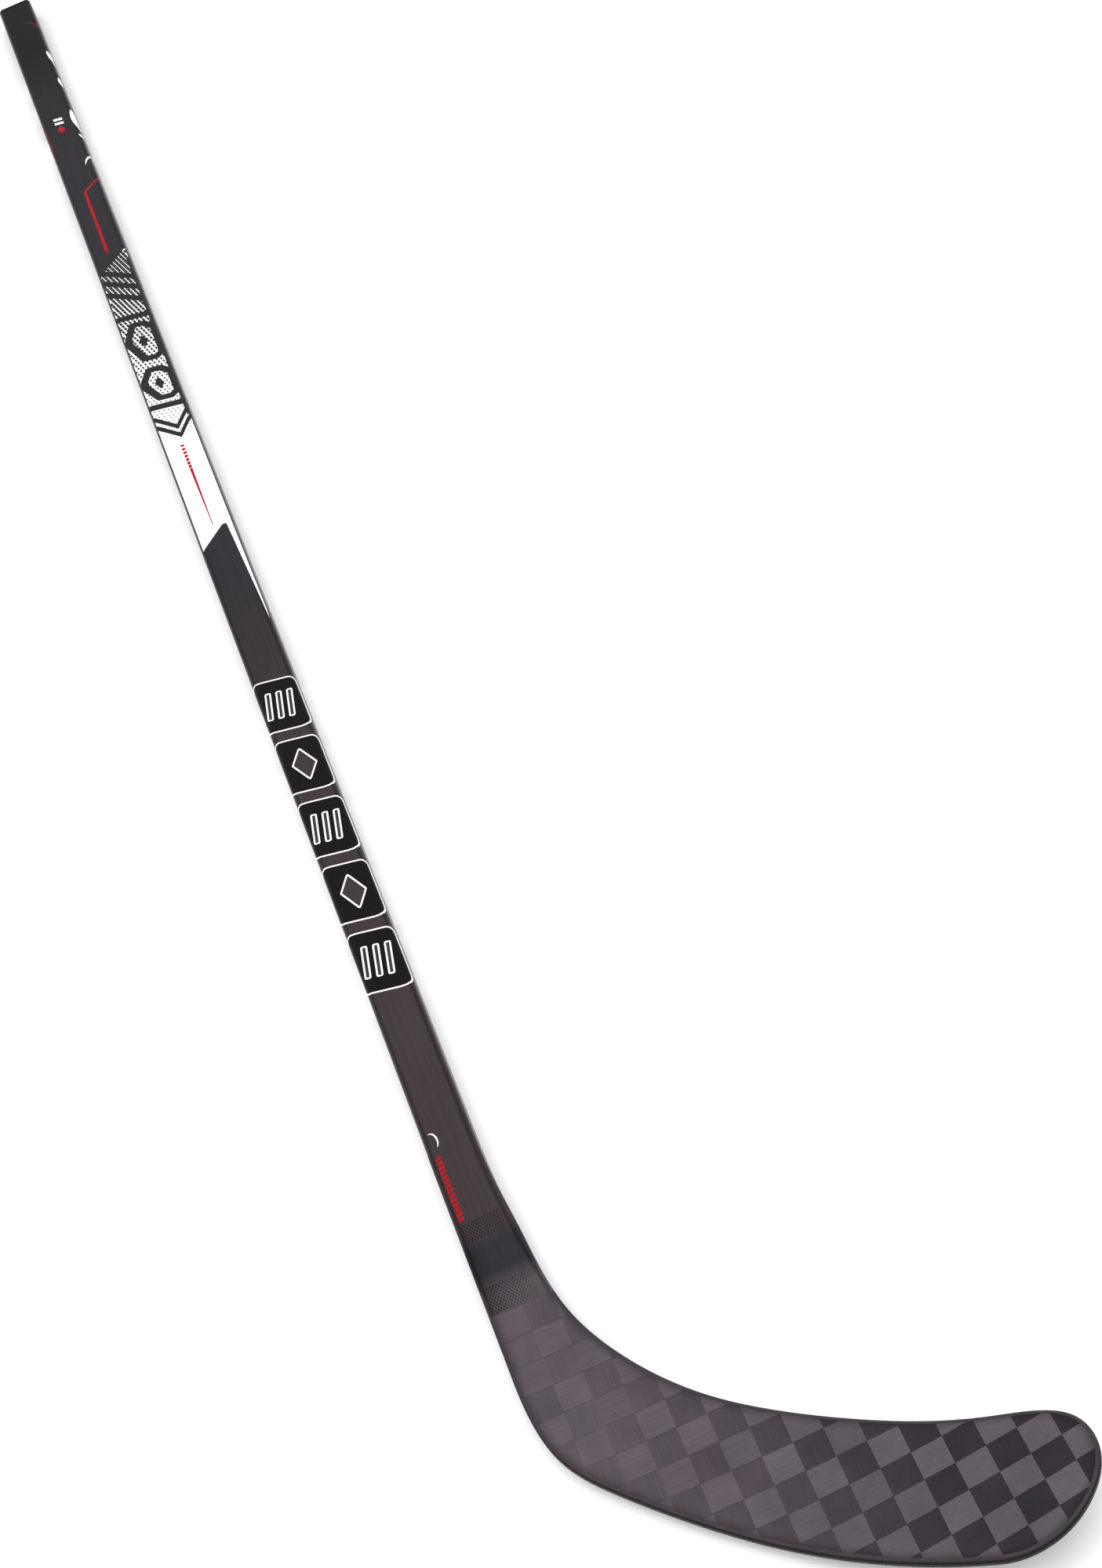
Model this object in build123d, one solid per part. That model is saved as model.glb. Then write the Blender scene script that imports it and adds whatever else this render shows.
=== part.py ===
from build123d import *
import math
import os

os.makedirs("parts", exist_ok=True)

# One-piece composite ice hockey stick, lying flat with its forehand face up.
# +Y runs up the shaft to the butt end, +X is the side the blade leaves on, +Z is up.
# The origin is the middle of the shaft tube's flat underside.

# ---------- driving dimensions, millimetres ----------
SHAFT_WIDTH = 29.0          # wide face of the shaft
SHAFT_DEPTH = 19.5          # narrow face of the shaft
SHAFT_CORNER = 4.0          # outer corner radius
LEAST_CORNER = 1.0          # smallest radius left when the section is reduced
SHAFT_WALL = 1.8
SHAFT_LENGTH = 1360.0       # the hollow tube alone

CAP_LIP = 3.0               # thickness of the cap outside the tube
CAP_EDGE = 1.2              # rounding of the cap's outer edge
PLUG_LENGTH = 42.0
PLUG_WALL = 2.0
PLUG_GAP = 0.3              # running gap between plug and tube, each side
PLUG_LEAD = 1.5             # chamfer on the plug's leading edge

TENON_LENGTH = 65.0         # how far the tenon goes up inside the tube
TENON_ROOT = 5.0            # how far the tongue's section runs on into the hosel's filling
BOND = 0.3                  # adhesive thickness

HOSEL_LENGTH = 113.0        # outer shell between the tube and the blade skins
HOSEL_WALL = 1.5
TAPER_LENGTH = 170.0        # over which the shaft's depth comes down to the blade's
HEEL_DROP = 163.0           # from the tube's end to where shaft axis and blade axis cross

BLADE_LEAN = 45.0           # the blade axis is turned this far from the shaft's line
BLADE_DEPTH = 6.0           # blade thickness over the skins
BLADE_BACK_Z = 7.5          # height of the blade's back face near the heel
SKIN = 0.8                  # carbon skin thickness
EDGE_WIDTH = 2.6            # width of the edge bead around the blade
EDGE_ROUND = 2.2            # rounding of the bead and of the hosel's corners
CURVE_RADIUS = 395.0        # the blade bends up towards its toe on this radius
CURVE_START = 130.0         # distance along the blade where the bend begins
CURVE_REACH = 190.0         # how far the bend runs on, past the toe
HEEL_STRAIGHT = 25.0        # the hosel's long side stays straight down to this far above the heel

RIB_WIDTH = 3.0             # the rib's line goes through these three points of the blade
RIB_TOP = (-25.0, 27.0)
RIB_SAG = (110.0, -12.0)
RIB_END = (299.0, 10.0)

# ---------- places worked out from them ----------
HALF_W = SHAFT_WIDTH / 2
TUBE_TOP = SHAFT_LENGTH / 2
TUBE_END = -TUBE_TOP
HOSEL_END = TUBE_END - HOSEL_LENGTH
TAPER_END = TUBE_END - TAPER_LENGTH
HEEL_Y = TUBE_END - HEEL_DROP
BLADE_FRONT_Z = BLADE_BACK_Z + BLADE_DEPTH
SHAFT_MID_Z = SHAFT_DEPTH / 2
INSET_STEPS = 12            # spans in a curved stretch of the outline when it is moved inwards
TALL = 120.0                # taller than anything in the blade
FAR = 420.0                 # further than anything in the blade
NEARLY_UPRIGHT = 0.05       # a side face's normal has less rise than this


def blade_point(along, up, z=0.0):
    """A point given by its distance along the blade axis and its height above that axis."""
    lean = math.radians(BLADE_LEAN)
    x = along * math.sin(lean) + up * math.cos(lean)
    y = HEEL_Y - along * math.cos(lean) + up * math.sin(lean)
    return Vector(x, y, z)


def blade_direction(along, up):
    return blade_point(along, up) - blade_point(0, 0)


def shaft_section(inset=0.0):
    """The shaft's rounded rectangle, seen along Y, reduced by an inset on every side."""
    sketch = RectangleRounded(
        SHAFT_WIDTH - 2 * inset, SHAFT_DEPTH - 2 * inset, max(SHAFT_CORNER - inset, LEAST_CORNER)
    )
    return Plane.XZ * sketch


def shaft_bar(inset, y_low, y_high):
    """A solid bar of the shaft's section between two stations on the shaft."""
    section = Pos(0, y_high, SHAFT_MID_Z) * shaft_section(inset)
    return extrude(section, amount=y_high - y_low)


# ---------- shaft and cap ----------
def shaft_tube():
    return shaft_bar(0, TUBE_END, TUBE_TOP) - shaft_bar(SHAFT_WALL, TUBE_END, TUBE_TOP)


def butt_end_cap():
    lip = shaft_bar(0, TUBE_TOP, TUBE_TOP + CAP_LIP)
    lip = fillet(lip.faces().sort_by(Axis.Y)[-1].edges(), CAP_EDGE)
    plug_inset = SHAFT_WALL + PLUG_GAP
    plug = shaft_bar(plug_inset, TUBE_TOP - PLUG_LENGTH, TUBE_TOP)
    plug = chamfer(plug.faces().sort_by(Axis.Y)[0].edges(), PLUG_LEAD)
    hollow = shaft_bar(plug_inset + PLUG_WALL, TUBE_TOP - PLUG_LENGTH, TUBE_TOP)
    return lip + (plug - hollow)


# ---------- outline of hosel and blade ----------
def blade_outline():
    """Plan outline of hosel and blade, from the tube's end round the toe and back."""
    left_top = Vector(-HALF_W, TUBE_END)
    left_low = Vector(-HALF_W, HEEL_Y + HEEL_STRAIGHT)
    heel_end = blade_point(62, -43)
    sole_end = blade_point(265, -24.7)
    toe_nose = blade_point(299.5, 20)
    toe_crown = blade_point(266, 57.5)
    right_top = Vector(HALF_W, TUBE_END)

    down_shaft = Vector(0, -1)
    up_blade = blade_direction(0, 1)
    back_along = blade_direction(-1, 0)
    rocker = ThreePointArc(heel_end, blade_point(166, -42), sole_end)
    return [
        Line(left_top, left_low),
        Spline(
            left_low, blade_point(4, -22.3), blade_point(26, -35.7), heel_end,
            tangents=[down_shaft, rocker % 0],
        ),
        rocker,
        Spline(sole_end, blade_point(287, -12), toe_nose, tangents=[rocker % 1, up_blade]),
        Spline(toe_nose, blade_point(290.2, 46), toe_crown, tangents=[up_blade, back_along]),
        Spline(
            toe_crown, blade_point(231, 49), blade_point(153, 30.2), blade_point(86, 22),
            blade_point(27, 30.7), blade_point(-10, 46.2), blade_point(-56, 82.2), right_top,
            tangents=[back_along, -down_shaft],
        ),
    ]


def inset_edge(edge, inset):
    """The same stretch of outline moved inwards: the outline runs with its inside on the left."""

    def moved(share):
        tangent = edge % share
        return edge @ share + Vector(-tangent.Y, tangent.X) * inset

    if edge.geom_type == GeomType.LINE:
        return Line(moved(0), moved(1))
    if edge.geom_type == GeomType.CIRCLE:
        return ThreePointArc(moved(0), moved(0.5), moved(1))
    shares = [step / INSET_STEPS for step in range(INSET_STEPS + 1)]
    return Spline(*[moved(share) for share in shares], tangents=[edge % 0, edge % 1])


def outline_face(inset=0.0):
    """The plan outline as a face, less an inset all round except across the tube's end."""
    edges = blade_outline()
    if inset:
        edges = [inset_edge(edge, inset) for edge in edges]
    return make_face(edges + [Line(edges[-1] @ 1, edges[0] @ 0)])


# ---------- thickness of hosel and blade ----------
def side_rise(along, radius):
    """How far the bent face has risen at a distance past the start of the bend."""
    return radius - math.sqrt(radius**2 - along**2)


def blade_slab(inset=0.0, top_inset=None):
    """The bent sheet that gives the blade its thickness, less an inset at back and front."""
    if top_inset is None:
        top_inset = inset
    front_z = BLADE_FRONT_Z - top_inset
    back_z = BLADE_BACK_Z + inset
    centre_z = BLADE_FRONT_Z + CURVE_RADIUS

    def station(along, z):
        return blade_point(along, -FAR, z)

    def bent(z_flat):
        radius = centre_z - z_flat
        half = CURVE_REACH / 2
        middle = station(CURVE_START + half, z_flat + side_rise(half, radius))
        end = station(CURVE_START + CURVE_REACH, z_flat + side_rise(CURVE_REACH, radius))
        return middle, end

    front_mid, front_end = bent(front_z)
    back_mid, back_end = bent(back_z)
    edges = [
        Line(station(-FAR, back_z), station(CURVE_START, back_z)),
        ThreePointArc(station(CURVE_START, back_z), back_mid, back_end),
        Line(back_end, front_end),
        ThreePointArc(front_end, front_mid, station(CURVE_START, front_z)),
        Line(station(CURVE_START, front_z), station(-FAR, front_z)),
        Line(station(-FAR, front_z), station(-FAR, back_z)),
    ]
    slab = extrude(make_face(edges), amount=2 * FAR, dir=blade_direction(0, 1))
    below_taper = Pos(0, TAPER_END - FAR, 0) * Box(4 * FAR, 2 * FAR, 4 * TALL)
    return slab & below_taper


def hosel_slab(inset=0.0, top_inset=None):
    """The tapering sheet that takes the shaft's depth down to the blade's."""
    if top_inset is None:
        top_inset = inset

    def edge(y, z):
        return Vector(-FAR, y, z)

    level = Vector(0, -1, 0)
    front_top = edge(TUBE_END, SHAFT_DEPTH - top_inset)
    front_low = edge(TAPER_END, BLADE_FRONT_Z - top_inset)
    back_top = edge(TUBE_END, inset)
    back_low = edge(TAPER_END, BLADE_BACK_Z + inset)
    edges = [
        Spline(front_top, front_low, tangents=[level, level]),
        Line(front_low, back_low),
        Spline(back_low, back_top, tangents=[-level, -level]),
        Line(back_top, front_top),
    ]
    return extrude(make_face(edges), amount=2 * FAR, dir=(1, 0, 0))


def sheet(inset=0.0, top_inset=None):
    return blade_slab(inset, top_inset) + hosel_slab(inset, top_inset)


def tall(face):
    return extrude(Pos(0, 0, -TALL) * face, amount=3 * TALL)


def between(y_low, y_high):
    """Everything between two stations on the shaft's line."""
    return Pos(0, (y_low + y_high) / 2, 0) * Box(4 * FAR, y_high - y_low, 6 * TALL)


# ---------- the blade's pieces ----------
def blade_blank():
    """Hosel and blade as one solid, with their outer edges rounded."""
    blank = tall(outline_face()) & sheet()
    rims = blank.faces().filter_by(is_side).edges()
    return fillet([edge for edge in rims if not is_upright(edge)], EDGE_ROUND)


def is_side(face):
    """True for the upright faces that the outline makes, apart from the cut at the tube's end."""
    normal = face.normal_at()
    return abs(normal.Z) < NEARLY_UPRIGHT and face.center().Y < TUBE_END - 1


def is_upright(edge):
    return abs((edge % 0.5).Z) > 1 - NEARLY_UPRIGHT or edge.center().Y > TUBE_END - 1


def rib_disc(grow):
    """The disc whose rim runs down the hosel's middle and along the blade to the toe's nose."""
    along_rib = ThreePointArc(
        blade_point(*RIB_TOP), blade_point(*RIB_SAG), blade_point(*RIB_END)
    )
    disc = Circle(along_rib.radius + grow)
    return extrude(Pos(*along_rib.arc_center) * Pos(0, 0, -TALL) * disc, amount=3 * TALL)


def blade_pieces():
    blank = blade_blank()
    blade_zone = between(HEEL_Y - FAR, HOSEL_END)
    hosel_zone = between(HOSEL_END, TUBE_END)
    panel = tall(outline_face(EDGE_WIDTH))
    filling = panel & sheet(SKIN)
    laminate = panel & sheet() & blade_zone
    bead = (blank & blade_zone) - panel
    foam = filling & blade_zone
    hosel_inside = tall(outline_face(HOSEL_WALL)) & sheet(HOSEL_WALL) & hosel_zone

    tongue = shaft_bar(SHAFT_WALL + BOND, TUBE_END - TENON_ROOT, TUBE_END + TENON_LENGTH)
    return {
        "hosel_wrap": (blank & hosel_zone) - hosel_inside,
        "hosel_tenon": hosel_inside + tongue,
        "blade_front_skin": laminate - sheet(-SKIN, SKIN),
        "blade_back_skin": laminate - sheet(SKIN, -SKIN),
        "blade_top_edge": bead & rib_disc(0),
        "blade_sole_edge": bead - rib_disc(0),
        "blade_core_upper": foam & rib_disc(-RIB_WIDTH / 2),
        "blade_core_lower": foam - rib_disc(RIB_WIDTH / 2),
        "blade_rib": (foam & rib_disc(RIB_WIDTH / 2)) - rib_disc(-RIB_WIDTH / 2),
    }


def tenon_bond():
    y_top = TUBE_END + TENON_LENGTH
    return shaft_bar(SHAFT_WALL, TUBE_END, y_top) - shaft_bar(SHAFT_WALL + BOND, TUBE_END, y_top)


pieces = {
    "shaft_tube": shaft_tube(),
    "butt_end_cap": butt_end_cap(),
    "tenon_bond": tenon_bond(),
    **blade_pieces(),
}
for name, solid in pieces.items():
    export_step(solid, f"parts/{name}.step")
    print(f"{name:18s} {solid.volume / 1000:8.2f} cm3  {len(solid.solids())} solid")
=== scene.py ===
import math

import bmesh
import bpy
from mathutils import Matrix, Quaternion, Vector


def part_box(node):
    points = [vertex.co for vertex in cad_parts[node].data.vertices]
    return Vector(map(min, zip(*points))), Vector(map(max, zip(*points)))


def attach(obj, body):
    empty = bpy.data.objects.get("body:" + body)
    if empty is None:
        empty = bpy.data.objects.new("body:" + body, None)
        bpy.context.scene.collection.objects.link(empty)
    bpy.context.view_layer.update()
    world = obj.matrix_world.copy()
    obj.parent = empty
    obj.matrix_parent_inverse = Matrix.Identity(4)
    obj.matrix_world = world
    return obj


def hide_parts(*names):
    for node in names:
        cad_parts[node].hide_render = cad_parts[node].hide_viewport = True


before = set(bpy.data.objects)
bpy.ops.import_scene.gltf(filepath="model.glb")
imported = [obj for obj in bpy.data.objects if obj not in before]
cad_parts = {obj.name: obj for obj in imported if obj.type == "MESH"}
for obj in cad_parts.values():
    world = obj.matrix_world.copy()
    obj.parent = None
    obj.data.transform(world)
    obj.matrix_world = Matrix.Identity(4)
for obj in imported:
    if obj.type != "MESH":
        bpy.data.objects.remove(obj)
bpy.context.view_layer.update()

# Sizes are millimetres and are turned into metres where a vertex or a node is made.
MM = 0.001
tube_low, tube_high = (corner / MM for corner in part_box("shaft_tube"))
hosel_low, hosel_high = (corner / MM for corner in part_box("hosel_wrap"))

# ---------- the shaft's section ----------
WIDTH = tube_high.x - tube_low.x
DEPTH = tube_high.z - tube_low.z
TUBE_END = tube_low.y
CORNER = 4.0
CORNER_STEPS = 6                    # pieces a print over a corner is bent in
FLAT = WIDTH / 2 - CORNER           # half of the wide face's flat
SIDE_FLAT = DEPTH - 2 * CORNER
QUARTER = CORNER * math.pi / 2      # length of a corner's arc
HALF_TURN = 2 * FLAT + SIDE_FLAT + 2 * QUARTER

# ---------- hosel and blade ----------
TAPER = 170.0                       # below the tube's end, over which the depth comes down
HEEL_Y = TUBE_END - 163.0           # where the shaft's line and the blade's line cross
SKIN_TOP = hosel_low.y              # where the hosel's wrap meets the blade's skins
FLARE = hosel_high.x - WIDTH / 2    # how far the hosel's +X side has spread out by there
BLADE_FRONT = 13.5
BLADE_BACK = 7.5
BEND_START = 130.0                  # along the blade
BEND_RADIUS = 395.0                 # of the front face

# ---------- print ----------
PRINT_SUNK = 0.02                   # how deep a printed shape reaches into the lacquer
PRINT_PROUD = 0.04
LAYER = 0.03                        # one print over another

# ---------- meshes and outlines ----------
WELD_GAP = 1e-4
CUT_GAP = 1e-5
SHARP_EDGE = math.radians(40)
ROUND_STEPS = 4                     # pieces a rounded corner is drawn in
ROUND_SHARE = 0.45                  # how much of a side a rounded corner may take
SMALLEST_RADIUS = 0.4
LEAF_STEPS = 7
LEAF_FULLNESS = 0.8                 # below 1 the stroke is fuller towards its ends
LEAF_TIP = 0.12                     # width at a stroke's ends


# ================= materials =================
LACQUER_SHINE = 0.06                # specular level of lacquered carbon and print
BUMP_DEPTH = 0.01                   # height of the surface's grain
NOISE_RANGE = (0.3, 0.7)            # noise values that count as its lowest and highest
NOISE_ROUGHNESS = 0.55
SPECK_RANGE = (0.35, 0.65)          # the same for the specks of print, plastic and resin
SPECK_SCALE = 600
SPECK_TONE = 0.1                    # how much lighter or darker a speck is
SPECK_GLOSS = 0.05

BUTT_TONE = (12, 10, 12)
SHAFT_TONES = (                     # along +Y: where a tone sets in, where it is full, the tone
    (600.0, 400.0, (40, 38, 42)),
    (-160.0, -340.0, (54, 47, 49)),
    (-742.0, -750.0, (40, 40, 44)),     # the hosel's smooth band
    (-768.0, -782.0, (72, 67, 71)),
)
BAND_START = (-742.0, -750.0)
BAND_PAINTED_SHADE = (-14.5, -2.0, 0.55, 1.0)   # painted shade from the band down: dark at the left, full by the middle
CORNER_PAINTED_SHADE = (10.5, 11.8, 1.0, 0.5)     # painted reflection of the corner: a dark line, from inside to its middle
CORNER_PAINTED_HIGHLIGHT = (12.4, 13.6, 1.0, 2.0)    # then a painted highlight outside it, up to twice the tone over the narrow side
EDGE_FLAT_TONE = (56, 51, 55)
# painted shade of the bead where it has rolled over, darker than its flat
EDGE_ROLL_PAINTED_SHADE = (24, 21, 23)
EDGE_SHADE_ROLL = (0.9, 0.55)             # the normal's upward share where the edge starts to roll and has rolled over, between which the painted shade comes in


def linear(red, green, blue):
    """A colour given as 0-255 screen values, as the shader wants it."""

    def channel(value):
        value = value / 255
        return value / 12.92 if value <= 0.04045 else ((value + 0.055) / 1.055) ** 2.4

    return (channel(red), channel(green), channel(blue), 1.0)


class Finish:
    """A material with its principled shader, and short calls for adding nodes to it."""

    def __init__(self, name, roughness=0.4, specular=LACQUER_SHINE):
        self.material = bpy.data.materials.new(name)
        self.material.use_nodes = True
        self.tree = self.material.node_tree
        self.shader = self.tree.nodes["Principled BSDF"]
        self.set("Roughness", roughness)
        self.set("Specular IOR Level", specular)
        self.place = self.node("ShaderNodeTexCoord").outputs["Object"]

    def set(self, socket, value):
        self.shader.inputs[socket].default_value = value

    def node(self, kind, settings=(), **inputs):
        made = self.tree.nodes.new(kind)
        for key, value in dict(settings).items():
            setattr(made, key, value)
        for key, value in inputs.items():
            self.feed(made.inputs[key.replace("_", " ")], value)
        return made

    def feed(self, socket, value):
        if isinstance(value, bpy.types.NodeSocket):
            self.tree.links.new(value, socket)
        else:
            socket.default_value = value

    def math(self, operation, first, second=0.0):
        made = self.node("ShaderNodeMath", {"operation": operation})
        self.feed(made.inputs[0], first)
        self.feed(made.inputs[1], second)
        return made.outputs[0]

    def noise(self, scale, stretch=(1, 1, 1), detail=3.0):
        """Noise with `scale` features to the metre, drawn out along the axes of `stretch`."""
        moved = self.node("ShaderNodeMapping", Vector=self.place, Scale=stretch).outputs[0]
        made = self.node(
            "ShaderNodeTexNoise", Vector=moved, Scale=scale, Detail=detail, Roughness=NOISE_ROUGHNESS
        )
        return made.outputs["Fac"]

    def spread(self, value, low, high, new_low=0.0, new_high=1.0):
        """The value's range from low to high spread over the new range, and held at its ends."""
        made = self.node("ShaderNodeMapRange", {"clamp": True})
        for socket, number in zip(made.inputs, (value, low, high, new_low, new_high)):
            self.feed(socket, number)
        return made.outputs[0]

    def fade(self, axis, start, end, new_start=0.0, new_end=1.0):
        """A change along an axis between two places in millimetres."""
        return self.spread(axis, start * MM, end * MM, new_start, new_end)

    def vary(self, noise, low, high):
        return self.spread(noise, *NOISE_RANGE, low, high)

    def mix(self, share, first, second, blend="MIX"):
        made = self.node("ShaderNodeMix", {"data_type": "RGBA", "blend_type": blend})
        self.feed(made.inputs[0], share)
        self.feed(made.inputs[6], first)
        self.feed(made.inputs[7], second)
        return made.outputs[2]

    def shade(self, tone, *lights):
        """The tone, lighter or darker by the lights."""
        product = lights[0]
        for light in lights[1:]:
            product = self.math("MULTIPLY", product, light)
        scaled = self.node("ShaderNodeVectorMath", {"operation": "SCALE"})
        self.feed(scaled.inputs[0], tone)
        self.feed(scaled.inputs["Scale"], product)
        return scaled.outputs[0]

    def colour(self, value):
        self.feed(self.shader.inputs["Base Color"], value)

    def rough(self, value):
        self.feed(self.shader.inputs["Roughness"], value)

    def bump(self, height, strength):
        made = self.node("ShaderNodeBump", Height=height, Distance=BUMP_DEPTH * MM, Strength=strength)
        self.feed(self.shader.inputs["Normal"], made.outputs[0])


def shaft_lacquer():
    """Satin lacquer over unidirectional carbon, near black at the butt and brown-grey lower down.

    A painted reflection runs along each corner and follows the hosel as it flares: a dark line
    just inside the corner and a painted highlight outside it. The hosel has a smooth blue-black
    band, and painted shade darkens its left side from there down.
    """
    finish = Finish("shaft_lacquer")
    place = finish.node("ShaderNodeSeparateXYZ", Vector=finish.place)
    across, along = place.outputs["X"], place.outputs["Y"]
    tone = linear(*BUTT_TONE)
    for start, full, colour in SHAFT_TONES:
        tone = finish.mix(finish.fade(along, start, full), tone, linear(*colour))

    down_hosel = finish.fade(along, TUBE_END, SKIN_TOP)
    flare = finish.math("MULTIPLY", finish.math("POWER", down_hosel, 2.0), FLARE * MM)
    from_right = finish.math("SUBTRACT", across, flare)
    outward = finish.math("MAXIMUM", finish.math("MULTIPLY", across, -1.0), from_right)
    # painted reflection: a dark line just inside each corner, a painted highlight outside it
    line = finish.math("MULTIPLY", finish.fade(outward, *CORNER_PAINTED_SHADE), finish.fade(outward, *CORNER_PAINTED_HIGHLIGHT))
    band = finish.fade(along, *BAND_START)
    # painted shade on the hosel's left side, from the band down
    painted_left_shade = finish.mix(band, (1, 1, 1, 1), finish.fade(across, *BAND_PAINTED_SHADE))

    fibre = finish.noise(900, stretch=(1, 0.02, 1), detail=4)
    cloud = finish.noise(14, stretch=(1, 0.4, 1), detail=2)
    streak = finish.vary(fibre, 0.88, 1.12)
    patch = finish.vary(cloud, 0.93, 1.07)
    finish.colour(finish.mix(1.0, finish.shade(tone, streak, patch, line), painted_left_shade, "MULTIPLY"))
    finish.rough(finish.vary(cloud, 0.20, 0.28))
    finish.bump(fibre, 0.5)
    return finish.material


def plain(name, colour, roughness=0.4, specular=LACQUER_SHINE):
    """Print, plastic or core of one colour, with fine specks in tone, gloss and surface."""
    finish = Finish(name, roughness, specular)
    speck = finish.noise(SPECK_SCALE)
    tone = linear(*colour)
    dark = tuple(channel * (1 - SPECK_TONE) for channel in tone[:3]) + (1.0,)
    light = tuple(min(channel * (1 + SPECK_TONE), 1.0) for channel in tone[:3]) + (1.0,)
    finish.colour(finish.mix(finish.spread(speck, *SPECK_RANGE), dark, light))
    finish.rough(finish.spread(speck, *SPECK_RANGE, roughness - SPECK_GLOSS, roughness + SPECK_GLOSS))
    finish.bump(speck, 0.4)
    return finish.material


def edge_finish():
    """Resin bead of the blade's edge: near the skins' tone on its flat, with painted shade where it rolls
    over.
    """
    finish = Finish("edge_resin")
    normal = finish.node("ShaderNodeTexCoord").outputs["Normal"]
    upright = finish.node("ShaderNodeSeparateXYZ", Vector=normal).outputs["Z"]
    painted_roll_shade = finish.spread(finish.math("ABSOLUTE", upright), *EDGE_SHADE_ROLL)
    tone = finish.mix(painted_roll_shade, linear(*EDGE_FLAT_TONE), linear(*EDGE_ROLL_PAINTED_SHADE))
    cloud = finish.noise(60, detail=3)
    finish.colour(finish.shade(tone, finish.vary(cloud, 0.9, 1.1)))
    finish.rough(finish.vary(cloud, 0.28, 0.38))
    finish.bump(finish.noise(700), 0.4)
    return finish.material


# ================= shapes printed on the shaft =================
def wrap_point(around, along, lift, back):
    """A point on the shaft's skin. `around` runs from the middle of the front face towards +X."""
    side = -1 if around < 0 else 1
    left = abs(around)
    arc_top, arc_low = DEPTH - CORNER, CORNER
    if left <= FLAT:
        x, z, turn = left, DEPTH, 0.0
    elif left <= FLAT + QUARTER:
        turn = (left - FLAT) / CORNER
        x, z = FLAT + CORNER * math.sin(turn), arc_top + CORNER * math.cos(turn)
    elif left <= FLAT + QUARTER + SIDE_FLAT:
        x, z, turn = WIDTH / 2, arc_top - (left - FLAT - QUARTER), math.pi / 2
    elif left <= FLAT + 2 * QUARTER + SIDE_FLAT:
        turn = math.pi / 2 + (left - FLAT - QUARTER - SIDE_FLAT) / CORNER
        x, z = FLAT + CORNER * math.sin(turn), arc_low + CORNER * math.cos(turn)
    else:
        x, z, turn = HALF_TURN - left, 0.0, math.pi
    x += lift * math.sin(turn)
    z += lift * math.cos(turn)
    x *= side
    if back:
        x, z = -x, DEPTH - z
    return Vector((x, along, z)) * MM


def taper_share(along):
    """0 at the tube's end, 1 where the taper has come down to the blade."""
    share = min(max((TUBE_END - along) / TAPER, 0.0), 1.0)
    return share * share * (3 - 2 * share)


def along_blade(x, y):
    """Distance along the blade's line, which leaves the shaft's at 45 degrees at the heel."""
    return (x - (y - HEEL_Y)) / math.sqrt(2)


def face_height(x, y, back):
    """Height of the front or back face of hosel and blade."""
    past = max(along_blade(x, y) - BEND_START, 0.0)
    flat_z = BLADE_BACK if back else BLADE_FRONT
    radius = BEND_RADIUS + (BLADE_FRONT - flat_z)
    bend = radius - math.sqrt(radius**2 - past**2)
    shaft_z = 0.0 if back else DEPTH
    return shaft_z + (flat_z - shaft_z) * taper_share(y) + bend


def blade_point(x, y, lift, back):
    z = face_height(x, y, back)
    return Vector((x, y, z - lift if back else z + lift)) * MM


def corner_cuts():
    """The `around` values where a wide print has to bend."""
    starts = [FLAT, FLAT + QUARTER + SIDE_FLAT]
    steps = [QUARTER * step / CORNER_STEPS for step in range(CORNER_STEPS + 1)]
    cuts = [start + step for start in starts for step in steps]
    return cuts + [-cut for cut in cuts]


def flat_mesh(shapes, cuts_across=(), cuts_along=(), welded=False):
    """Shapes as [outer, hole, hole ...] outlines, filled and cut into a flat mesh."""
    made = bmesh.new()
    for outlines in shapes:
        edges = []
        for outline in outlines:
            corners = [made.verts.new((x, y, 0)) for x, y in outline]
            edges += [made.edges.new((a, b)) for a, b in zip(corners, corners[1:] + corners[:1])]
        bmesh.ops.triangle_fill(made, edges=edges, use_beauty=True, normal=(0, 0, 1))
    if welded:
        bmesh.ops.remove_doubles(made, verts=made.verts[:], dist=WELD_GAP)
    planes = [((cut, 0, 0), (1, 0, 0)) for cut in cuts_across]
    planes += [((0, cut, 0), (0, 1, 0)) for cut in cuts_along]
    for point, normal in planes:
        everything = made.verts[:] + made.edges[:] + made.faces[:]
        bmesh.ops.bisect_plane(made, geom=everything, plane_co=point, plane_no=normal, dist=CUT_GAP)
    for face in made.faces:
        face.normal_update()
        if face.normal.z < 0:
            face.normal_flip()
    return made


def thicken(name, flat, place, top, bottom):
    """A closed piece from a flat mesh: `place` says where a flat point goes at a given lift.

    Its points are the upper ones and then the lower ones. Its faces are an upper and a lower one
    for each flat face in turn, and then the walls.
    """
    flat.verts.index_update()
    count = len(flat.verts)
    points = [place(v.co.x, v.co.y, top) for v in flat.verts]
    points += [place(v.co.x, v.co.y, bottom) for v in flat.verts]
    faces = []
    for face in flat.faces:
        ring = [v.index for v in face.verts]
        faces.append(ring)
        faces.append([index + count for index in reversed(ring)])
    for edge in flat.edges:
        if len(edge.link_faces) == 1:
            loop = edge.link_loops[0]
            a, b = loop.vert.index, loop.link_loop_next.vert.index
            faces.append([b, a, a + count, b + count])
    mesh = bpy.data.meshes.new(name)
    mesh.from_pydata(points, [], faces)
    mesh.validate()
    piece = bpy.data.objects.new(name, mesh)
    bpy.context.scene.collection.objects.link(piece)
    return piece


def shade_smooth(piece):
    """Smooth shading that keeps edges sharper than SHARP_EDGE."""
    piece.data.shade_smooth()
    work = bmesh.new()
    work.from_mesh(piece.data)
    for edge in work.edges:
        edge.smooth = len(edge.link_faces) == 2 and edge.calc_face_angle() < SHARP_EDGE
    work.to_mesh(piece.data)
    work.free()


def finish_print(piece, material):
    """What every print ends with: shading, material, body and slot."""
    shade_smooth(piece)
    piece.data.materials.append(material)
    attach(piece, "stick")


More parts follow.
